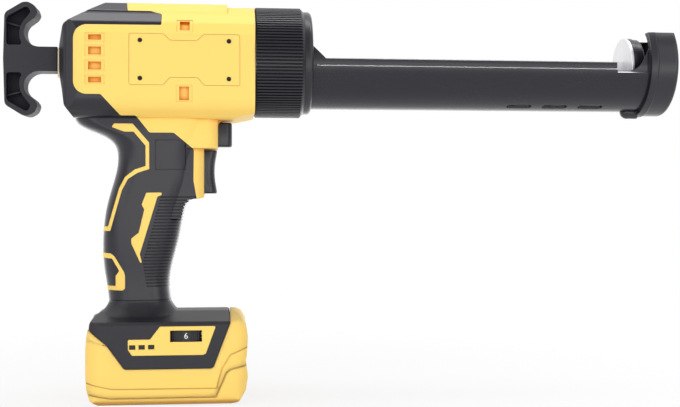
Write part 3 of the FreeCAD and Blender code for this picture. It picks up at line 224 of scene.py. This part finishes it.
cast_alloy = metal("cast_alloy", colour=(0.60, 0.61, 0.62, 1), dull=(0.48, 0.49, 0.50, 1),
                   rough=0.48, grain=1800, edge=0.0005)
dress(cast_alloy, "gearbox_case")
zinc_steel = metal("zinc_steel", colour=(0.74, 0.74, 0.75, 1), dull=(0.62, 0.62, 0.64, 1),
                   rough=0.30, grain=900, edge=0.0003)
dress(zinc_steel, "motor_can", "pinion_bearings", "drive_pinion", "battery_cells")
black_plastic = moulded("black_plastic", colour=(0.009, 0.009, 0.0145, 1), shade=(0.012, 0.012, 0.018, 1),
                        worn=(0.035, 0.035, 0.041, 1), rough=0.46, grain=4800, edge=0.0006,
                        specular=0.45)
dress(black_plastic, "motor_end_bell", "trigger_switch", "terminal_block", "foot_base")


# Side plate screws and clamshell screws.
# Black-oxide steel with six-lobed sockets. Four short ones hold the plate and sit a little below
# its face; five long ones draw the halves together from the left side.
def lobed_screw(head_radius, head_depth, shank_radius=0, shank_length=0):
    """One screw whose face lies at the origin and looks up: rounded rim, six-lobed socket, shank."""
    rim_rounding = 0.14 * head_radius
    socket_margin = 0.3 * head_radius
    socket_depth = 0.45 * head_depth
    lobe_reach, lobe_swing, lobes = 0.46 * head_radius, 0.07 * head_radius, 6
    taper = 0.02
    shape = bmesh.new()
    bmesh.ops.create_cone(shape, cap_ends=True, segments=48, radius1=head_radius, radius2=head_radius,
                          depth=head_depth, matrix=Matrix.Translation((0, 0, -head_depth / 2)))
    rim = [edge for edge in shape.edges if min(vert.co.z for vert in edge.verts) > -head_depth / 4]
    bmesh.ops.bevel(shape, geom=rim, offset=rim_rounding, offset_type="OFFSET", affect="EDGES",
                    segments=3, profile=0.5, material=-1)
    face = max(shape.faces, key=lambda side: side.calc_center_median().z)
    bmesh.ops.inset_region(shape, faces=[face], thickness=socket_margin, use_even_offset=True)
    for vert in face.verts:
        angle = math.atan2(vert.co.y, vert.co.x)
        reach = lobe_reach + lobe_swing * math.cos(lobes * angle)
        vert.co.x, vert.co.y = reach * math.cos(angle), reach * math.sin(angle)
    bmesh.ops.inset_region(shape, faces=[face], thickness=taper * head_radius, depth=-socket_depth)
    if shank_length:
        under = min(shape.faces, key=lambda side: side.calc_center_median().z)
        bmesh.ops.inset_region(shape, faces=[under], thickness=head_radius - shank_radius,
                               use_even_offset=True)
        bmesh.ops.inset_region(shape, faces=[under], thickness=taper * shank_radius,
                               depth=shank_length)
    made = bpy.data.meshes.new("one_screw")
    shape.to_mesh(made)
    shape.free()
    return made


def new_piece(name, shape, material):
    """The finished shape as an object at the origin, in one material."""
    made = bpy.data.meshes.new(name)
    shape.to_mesh(made)
    shape.free()
    made.materials.append(material)
    piece = bpy.data.objects.new(name, made)
    bpy.context.scene.collection.objects.link(piece)
    return piece


def screw_set(name, node, screws):
    """All screws of a node as one piece: each a mesh and its place."""
    shape = bmesh.new()
    for one, place in screws:
        count = len(shape.verts)
        shape.from_mesh(one)
        shape.verts.ensure_lookup_table()
        bmesh.ops.transform(shape, matrix=place, verts=shape.verts[count:])
    piece = new_piece(name, shape, black_oxide)
    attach(piece, "tool")
    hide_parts(node)


black_oxide = metal("black_oxide", colour=(0.05, 0.05, 0.055, 1), dull=(0.03, 0.03, 0.033, 1),
                    rough=0.42, grain=1500, edge=0.0002)
plate_screw = lobed_screw(head_radius=0.0014, head_depth=0.00266)
plate_columns = (-0.013856, 0.039175)
plate_rows = (0.21889, 0.196105)
plate_screw_y = -0.0325
facing_right = Matrix.Rotation(math.pi / 2, 4, "X")
screw_set("plate_screws", "side_plate_screws",
          [(plate_screw, Matrix.Translation((x, plate_screw_y, z)) @ facing_right)
           for x in plate_columns for z in plate_rows])
facing_left = Matrix.Rotation(-math.pi / 2, 4, "X")
long_head_depth = 0.002
clamshell_screws = []
for x, z, face_y, end_y in ((-0.044056, 0.2317, 0.028597, -0.026047),
                            (-0.052029, 0.1820, 0.030692, -0.028142),
                            (-0.019896, 0.1521, 0.019134, -0.016584),
                            (-0.025936, 0.09943, 0.018151, -0.015601),
                            (-0.01603, 0.068515, 0.017645, -0.015095)):
    long_screw = lobed_screw(head_radius=0.0029, head_depth=long_head_depth, shank_radius=0.0015,
                             shank_length=face_y - long_head_depth - end_y)
    clamshell_screws.append((long_screw, Matrix.Translation((x, face_y, z)) @ facing_left))
screw_set("clamshell_screws", "housing_screws", clamshell_screws)


# Push rod and handle pin.
# A square steel bar with a cut rack along its underside, bright zinc plated, with a thin film
# of grease that darkens it in streaks along its length.
rod_steel, shader, place = finish("rod_steel", Metallic=1.0)
along_rod = place.node("ShaderNodeMapping", {}, {"Vector": place, "Scale": (12, 700, 700)})
streak = along_rod.noise(scale=1.0, detail=4)
feed(shader, Base_Color=streak.mixed((0.72, 0.72, 0.73, 1), (0.50, 0.50, 0.52, 1)),
     Roughness=0.22 + 0.2 * streak,
     Normal=streak.bump(strength=0.2, distance=0.00004, normal=softened(place, edge=0.0003)))
dress(rod_steel, "push_rod", "handle_pin")


# T-handle.
# Glass-filled black nylon, cored out on both faces with one rib across each core.
handle_nylon = moulded("handle_nylon", colour=(0.010, 0.010, 0.0155, 1), shade=(0.014, 0.014, 0.020, 1),
                       worn=(0.05, 0.05, 0.052, 1), rough=0.58, grain=4200, edge=0.0008,
                       specular=0.1, dull_reach=0.009)
dress(handle_nylon, "rod_handle")


# Piston: steel plate, rubber puck and its screw.
# The plate is stamped and zinc plated, turned on its face so that fine rings run round it.
plate_zinc, shader, place = finish("plate_zinc", Metallic=1.0)
rod_height = 0.210
from_axis = place.node("ShaderNodeMapping", {}, {"Vector": place, "Location": (0, 0, -rod_height),
                                                 "Scale": (0, 1, 1)}).length()
rings = from_axis.node("ShaderNodeTexNoise", {"noise_dimensions": "1D"},
                       {"W": from_axis, "Scale": 2600, "Detail": 3})
stain = place.noise(scale=40, detail=3)
feed(shader, Base_Color=stain.mixed((0.86, 0.86, 0.87, 1), (0.76, 0.76, 0.78, 1)),
     Roughness=0.34 + 0.14 * rings,
     Normal=rings.bump(strength=0.2, distance=0.00003, normal=softened(place, edge=0.0004)))
dress(plate_zinc, "piston_plate", "piston_screw")
dress(rubber, "piston_puck")


# Collar nut.
# Black nylon ring with straight moulded grip ribs; the rib tops are polished by the hand.
collar_nylon = moulded("collar_nylon", colour=(0.008, 0.008, 0.0125, 1), shade=(0.011, 0.011, 0.016, 1),
                       worn=(0.06, 0.06, 0.063, 1), rough=0.34, grain=4800, edge=0.00025,
                       specular=0.1, dull_reach=0.0022)
dress(collar_nylon, "collar_nut")


# Cartridge carrier, front cap and its screw.
# Extruded aluminium trough, powder coated satin black, with a moulded cap on its end.
carrier_coat = moulded("carrier_coat", colour=(0.009, 0.0085, 0.014, 1), shade=(0.012, 0.0115, 0.0175, 1),
                       worn=(0.06, 0.06, 0.063, 1), rough=0.26, grain=2600, edge=0.0005,
                       specular=0.42)
dress(carrier_coat, "carrier_trough")
cap_nylon = moulded("cap_nylon", colour=(0.011, 0.0105, 0.016, 1), shade=(0.014, 0.0135, 0.0195, 1),
                    worn=(0.05, 0.05, 0.053, 1), rough=0.34, grain=4200, edge=0.0004)
dress(cap_nylon, "front_cap")
dress(black_oxide, "cap_screw")


# Chamfers along the carrier's lips.
# Where each lip steps in, the step is eased by a flat chamfer; its pale bare-metal colour is a painted
# highlight, so that it shows as one bright line; it runs on, a little lower, past the notch to the cap.
def add_block(shape, low, high):
    """A box between two corners; gives its vertices."""
    middle = Matrix.Translation((Vector(low) + Vector(high)) / 2)
    span = Matrix.Diagonal((*(Vector(high) - Vector(low)), 1))
    return bmesh.ops.create_cube(shape, size=1, matrix=middle @ span)["verts"]


def closed_cut(shape, geometry, point, normal):
    """Cuts away all on the normal's side of a plane and closes the cut."""
    bmesh.ops.bisect_plane(shape, geom=geometry, plane_co=point, plane_no=normal, clear_outer=True)
    bmesh.ops.holes_fill(shape, edges=[edge for edge in shape.edges if edge.is_boundary], sides=0)


# Painted highlight: the pale metal colour makes the chamfers show as a bright line.
chamfer_highlight_metal = metal("chamfer_highlight_metal", colour=(0.46, 0.46, 0.47, 1), dull=(0.34, 0.34, 0.35, 1),
                    rough=0.32, grain=900, edge=0.0002)
chamfer_shape = bmesh.new()
for start, end, outer, inner, low, high in ((0.0930, 0.2828, 0.02862, 0.0276, 0.20545, 0.20642),
                                            (0.2834, 0.3042, 0.02826, 0.0273, 0.20355, 0.20446)):
    for side in (-1, 1):
        right, left = sorted((side * inner, side * outer))
        corners = add_block(chamfer_shape, (start, right, low), (end, left, high))
        block = list({face for corner in corners for face in corner.link_faces})
        rims = list({edge for corner in corners for edge in corner.link_edges})
        closed_cut(chamfer_shape, corners + rims + block, point=(0, side * outer, low),
                   normal=(0, side * (high - low), outer - inner))
bmesh.ops.recalc_face_normals(chamfer_shape, faces=chamfer_shape.faces[:])
chamfers = new_piece("carrier_chamfers", chamfer_shape, chamfer_highlight_metal)
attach(chamfers, "carrier")


# Trigger and lock button with their springs.
# Black acetal slides in the yellow shroud, with the smooth, slightly glossy skin of that plastic.
# Their fronts are rounded from side to side for the finger, and a flange behind keeps them in.
slide_acetal = moulded("slide_acetal", colour=(0.008, 0.008, 0.013, 1), shade=(0.011, 0.011, 0.0165, 1),
                       worn=(0.035, 0.035, 0.037, 1), rough=0.26, grain=5600, edge=0.0004,
                       specular=0.45)


def rounded_slide(name, node, body, shown, outline, stem, rounding, eased):
    """A slide whose outline, seen from the side, is pushed across it, rounded in front and eased along
    its rims. Outline points are given from the front face's foot, the stem as its reach in height."""
    flange_width, flange_depth = 0.0014, 0.0020
    finger_rounding, past_face, level, sharp = 0.003, 0.001, 0.00001, 0.8
    low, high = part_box(node)
    half = high[1] - flange_width
    face = high[0] - shown
    shape = bmesh.new()
    shape.faces.new([shape.verts.new((high[0] + x, -half, low[2] + z)) for x, z in outline])
    hollows = [vert for vert in shape.verts if face + past_face < vert.co.x < high[0] - 0.0005]
    if hollows:
        bmesh.ops.bevel(shape, geom=hollows, offset=finger_rounding, offset_type="OFFSET",
                        affect="VERTICES", segments=6, profile=0.5, material=-1)
    pushed = bmesh.ops.extrude_face_region(shape, geom=shape.faces[:])["geom"]
    bmesh.ops.translate(shape, vec=(0, 2 * half, 0),
                        verts=[part for part in pushed if isinstance(part, bmesh.types.BMVert)])
    bmesh.ops.recalc_face_normals(shape, faces=shape.faces[:])
    front = [edge for edge in shape.edges if min(vert.co.x for vert in edge.verts) > face + past_face
             and abs(edge.verts[0].co.y - edge.verts[1].co.y) < level]
    bmesh.ops.bevel(shape, geom=front, offset=rounding, offset_type="OFFSET", affect="EDGES",
                    segments=12, profile=0.5, material=-1)
    rims = [edge for edge in shape.edges if edge.calc_face_angle(0) > sharp
            and abs(edge.verts[0].co.z - edge.verts[1].co.z) < level
            and max(vert.co.x for vert in edge.verts) > face + past_face]
    bmesh.ops.bevel(shape, geom=rims, offset=eased, offset_type="OFFSET", affect="EDGES",
                    segments=4, profile=0.5, material=-1)
    foot, head = low[2] + stem[0], low[2] + stem[1]
    for end, reach in ((low[0] + flange_depth, high[1]), (face + 0.0005, half - 0.0001)):
        add_block(shape, (low[0], -reach, foot), (end, reach, head))
    for side in shape.faces:
        side.smooth = True
    for edge in shape.edges:
        edge.smooth = edge.calc_face_angle(0) < math.radians(30)
    piece = new_piece(name, shape, slide_acetal)
    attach(piece, body)
    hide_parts(node)


rounded_slide("trigger_blade", "trigger", "trigger", shown=0.0084,
              outline=((-0.0200, 0), (0, 0), (-0.00168, 0.0098), (-0.00168, 0.0169), (0, 0.0272),
                       (-0.0200, 0.0272)),
              stem=(0.0014, 0.0258), rounding=0.0056, eased=0.0010)
rounded_slide("lock_cap", "lock_button", "lock", shown=0.0088,
              outline=((-0.0088, 0), (0, 0), (0, 0.0155), (-0.0088, 0.0155)),
              stem=(0.0026, 0.0141), rounding=0.0050, eased=0.0012)


def coil_spring(name, node, rear, length, radius, height, wire, turns):
    """Spring of round wire wound along X, made as one piece fixed to the tool."""
    steps = turns * 20
    shape = bmesh.new()
    start = Matrix.Translation((rear + wire, 0, height + radius - wire))
    ring = bmesh.ops.create_circle(shape, segments=10, radius=wire,
                                   matrix=start @ Matrix.Rotation(math.pi / 2, 4, "X"))["verts"]
    bmesh.ops.spin(shape, geom=ring + shape.edges[:], cent=(0, 0, height), axis=(1, 0, 0),
                   angle=turns * math.tau, dvec=((length - 2 * wire) / steps, 0, 0), steps=steps,
                   use_merge=False)
    bmesh.ops.holes_fill(shape, edges=[edge for edge in shape.edges if edge.is_boundary], sides=0)
    bmesh.ops.recalc_face_normals(shape, faces=shape.faces[:])
    for side in shape.faces:
        side.smooth = True
    piece = new_piece(name, shape, zinc_steel)
    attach(piece, "tool")
    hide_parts(node)
    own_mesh(piece)


coil_spring("trigger_coil", "trigger_spring", rear=0.001954, length=0.010, radius=0.0032,
            height=0.140854, wire=0.0004, turns=6)
coil_spring("lock_coil", "lock_spring", rear=0.015031, length=0.0075, radius=0.0026,
            height=0.164201, wire=0.00035, turns=5)


# Foot, charge windows, board and speed dial.
# Black moulding that holds the control board; the windows are smoked clear plastic and dark while
# the lamps behind them are off. The dial's numbers are raised in its smooth places and inked white.
dress(black_plastic, "foot_shell", "speed_dial")
smoked = moulded("smoked_window", colour=(0.010, 0.009, 0.008, 1), shade=(0.014, 0.012, 0.010, 1),
                 worn=(0.03, 0.03, 0.03, 1), rough=0.12, grain=800, edge=0.0002)
dress(smoked, "led_windows")
white_ink = moulded("white_ink", colour=(0.85, 0.85, 0.84, 1), shade=(0.80, 0.80, 0.79, 1),
                    worn=(0.9, 0.9, 0.9, 1), rough=0.5, grain=4000, edge=0.0001)
dial_place = Matrix.Translation((0.013665, -0.0244, 0.04172))
number_step = math.radians(48)
number_out = Matrix.Translation((0, -0.01275, 0)) @ Matrix.Rotation(math.pi / 2, 4, "X")
for number in range(1, 7):
    lettering = bpy.data.curves.new("dial_number_%d" % number, "FONT")
    lettering.body = str(number)
    lettering.size = 0.0050
    lettering.extrude = 0.00015
    lettering.align_x = "CENTER"
    lettering.align_y = "CENTER"
    drawn = bpy.data.objects.new("dial_lettering", lettering)
    bpy.context.scene.collection.objects.link(drawn)
    ready = drawn.evaluated_get(bpy.context.evaluated_depsgraph_get())
    numeral_mesh = bpy.data.meshes.new_from_object(ready)
    bpy.data.objects.remove(drawn)
    turned = Matrix.Rotation((6 - number) * number_step, 4, "Z")
    numeral_mesh.transform(dial_place @ turned @ number_out)
    numeral = bpy.data.objects.new("dial_number_%d" % number, numeral_mesh)
    bpy.context.scene.collection.objects.link(numeral)
    numeral_mesh.materials.clear()
    numeral_mesh.materials.append(white_ink)
    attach(numeral, "dial")
laminate = moulded("board_laminate", colour=(0.02, 0.12, 0.05, 1), shade=(0.025, 0.15, 0.06, 1),
                   worn=(0.2, 0.25, 0.15, 1), rough=0.35, grain=900, edge=0.0002)
dress(laminate, "control_board")


# Battery case and contacts.
# The same yellow moulding as the body, in two parts that meet on a stepped line, with stamped
# brass blades standing in the saddle.
# The hollow shade colour is painted shade: the case's grooves turn brownish.
battery_yellow = moulded("battery_yellow", edge=0.0050, hollow_shade_colour=(0.60, 0.33, 0.06, 1), **yellow_abs)
dress(battery_yellow, "battery_case_top", "battery_case_bottom")
brass = metal("contact_brass", colour=(0.80, 0.58, 0.22, 1), dull=(0.62, 0.44, 0.16, 1),
              rough=0.28, grain=1400, edge=0.0002)
dress(brass, "battery_terminals")


# Battery shoulder.
# A wedge welded on the upper case behind the foot, which closes the corner under the foot's
# sloping rear edge and leaves the same gap there as the saddle does.
corner_rounding = 0.011
foot_slope = ((-0.03319, 0, 0.03641), (0.631, 0, 0.776))
case_slope = ((-0.0332, 0, 0.0361), (-0.282, 0, -0.96))
case_rear = ((-0.04597, 0, 0.0392), (-0.981, 0, 0.195))
shoulder = bmesh.new()
add_block(shoulder, (-0.0468, -0.037, 0.036), (-0.032, 0.037, 0.0455))
rear_corners = [edge for edge in shoulder.edges if edge.verts[0].co.x < -0.046
                and abs(edge.verts[0].co.z - edge.verts[1].co.z) > 0.005]
bmesh.ops.bevel(shoulder, geom=rear_corners, offset=corner_rounding, offset_type="OFFSET",
                affect="EDGES", segments=14, profile=0.5, material=-1)
for point, normal in (foot_slope, case_slope, case_rear):
    closed_cut(shoulder, shoulder.verts[:] + shoulder.edges[:] + shoulder.faces[:], point, normal)
bmesh.ops.recalc_face_normals(shoulder, faces=shoulder.faces[:])
shoulder_piece = new_piece("battery_shoulder", shoulder, battery_yellow)
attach(shoulder_piece, "battery")


# Studio: a white floor that keeps the tool's shadow, a white surround, softboxes and the camera.
# The floor is a clear pane before the white surround, so that the released battery still shows below
# it. The camera stands level at mid height, turned a few degrees towards the nozzle.
def ray_kinds(tree):
    """Empties a node tree; gives Wires for camera rays, for mirrored or refracted ones and for shadows."""
    tree.nodes.clear()
    path = tree.nodes.new("ShaderNodeLightPath").outputs
    mirrored = Wire(path["Is Glossy Ray"]) + Wire(path["Is Transmission Ray"])
    return Wire(path["Is Camera Ray"]), mirrored, Wire(path["Is Shadow Ray"])


def between(share, first, second):
    """The first shader, with this share of the second."""
    return share.node("ShaderNodeMixShader", {}, {0: share, 1: first, 2: second})


white = (1, 1, 1, 1)
paper = bpy.data.materials.new("studio_paper")
paper.use_nodes = True
seen, mirrored, shadow = ray_kinds(paper.node_tree)
matt = seen.node("ShaderNodeBsdfDiffuse", {}, {"Color": (0.74, 0.74, 0.74, 1)})
glow = seen.node("ShaderNodeEmission", {}, {"Color": white, "Strength": 1.0})
clear = seen.node("ShaderNodeBsdfTransparent", {}, {})
from_middle = seen.node("ShaderNodeTexCoord", {}, {}, out="Object").length()
shadow_share = 0.20 * (1 - from_middle * 2.6).clamp()
lit_share = (seen + mirrored).clamp() * (1 - shadow_share)
pane = between(lit_share, matt, between(seen, glow, clear))
paper_out = paper.node_tree.nodes.new("ShaderNodeOutputMaterial")
paper.node_tree.links.new(between(shadow, pane, clear).socket, paper_out.inputs[0])

floor_shape = bmesh.new()
bmesh.ops.create_grid(floor_shape, x_segments=1, y_segments=1, size=12)
floor = new_piece("studio_floor", floor_shape, paper)

world = bpy.data.worlds.new("studio_surround")
bpy.context.scene.world = world
world.use_nodes = True
seen, mirrored, shadow = ray_kinds(world.node_tree)
heading = seen.node("ShaderNodeTexCoord", {}, {}, out="Generated")
backward = heading.node("ShaderNodeSeparateXYZ", {}, {0: heading}, out="Y")
backdrop = (0.35 + backward * 2.0).clamp()
surround = seen.node("ShaderNodeBackground", {}, {"Color": white, "Strength": 1.0})
ambient = seen.node("ShaderNodeBackground", {}, {"Color": white, "Strength": 0.50})
lit = between((seen + mirrored * backdrop).clamp(), ambient, surround)
world_out = world.node_tree.nodes.new("ShaderNodeOutputWorld")
world.node_tree.links.new(lit.socket, world_out.inputs[0])


def softbox(name, size, place, aim, power):
    lamp = bpy.data.lights.new(name, "AREA")
    lamp.shape = "RECTANGLE"
    lamp.size, lamp.size_y = size
    lamp.energy = power
    made = bpy.data.objects.new(name, lamp)
    made.location = place
    made.rotation_euler = (Vector(aim) - Vector(place)).to_track_quat("-Z", "Y").to_euler()
    made.visible_camera = False
    bpy.context.scene.collection.objects.link(made)


softbox("softbox_top", size=(1.6, 0.26), place=(0.1, 0.04, 1.1), aim=(0.1, 0.0, 0.15), power=6.5)
softbox("softbox_left", size=(0.8, 1.2), place=(-0.9, -0.9, 0.7), aim=(0, 0, 0.15), power=5.5)
softbox("softbox_right", size=(0.8, 1.2), place=(1.1, -0.9, 0.6), aim=(0.1, 0, 0.15), power=4)
softbox("softbox_front", size=(1.2, 0.9), place=(0.2, -1.7, 0.35), aim=(0.1, 0, 0.15), power=1.6)
softbox("softbox_under", size=(1.4, 0.45), place=(0.15, 0.42, 0.015), aim=(0.15, 0.1, 0.5), power=2)
softbox("softbox_low", size=(1.6, 0.35), place=(0.15, -0.8, 0.03), aim=(0.1, 0, 0.2), power=3.2)

picture_width, focal_pixels = 680, 1120
camera = bpy.data.objects.new("camera", bpy.data.cameras.new("camera"))
camera.data.sensor_width = 36
camera.data.lens = camera.data.sensor_width * focal_pixels / picture_width
camera.data.clip_start = 0.01
camera.location = (0.0352, -0.7121, 0.121)
camera.rotation_euler = (math.radians(90), 0, math.radians(-6))
bpy.context.scene.collection.objects.link(camera)
bpy.context.scene.camera = camera
bpy.context.scene.view_settings.view_transform = "Standard"
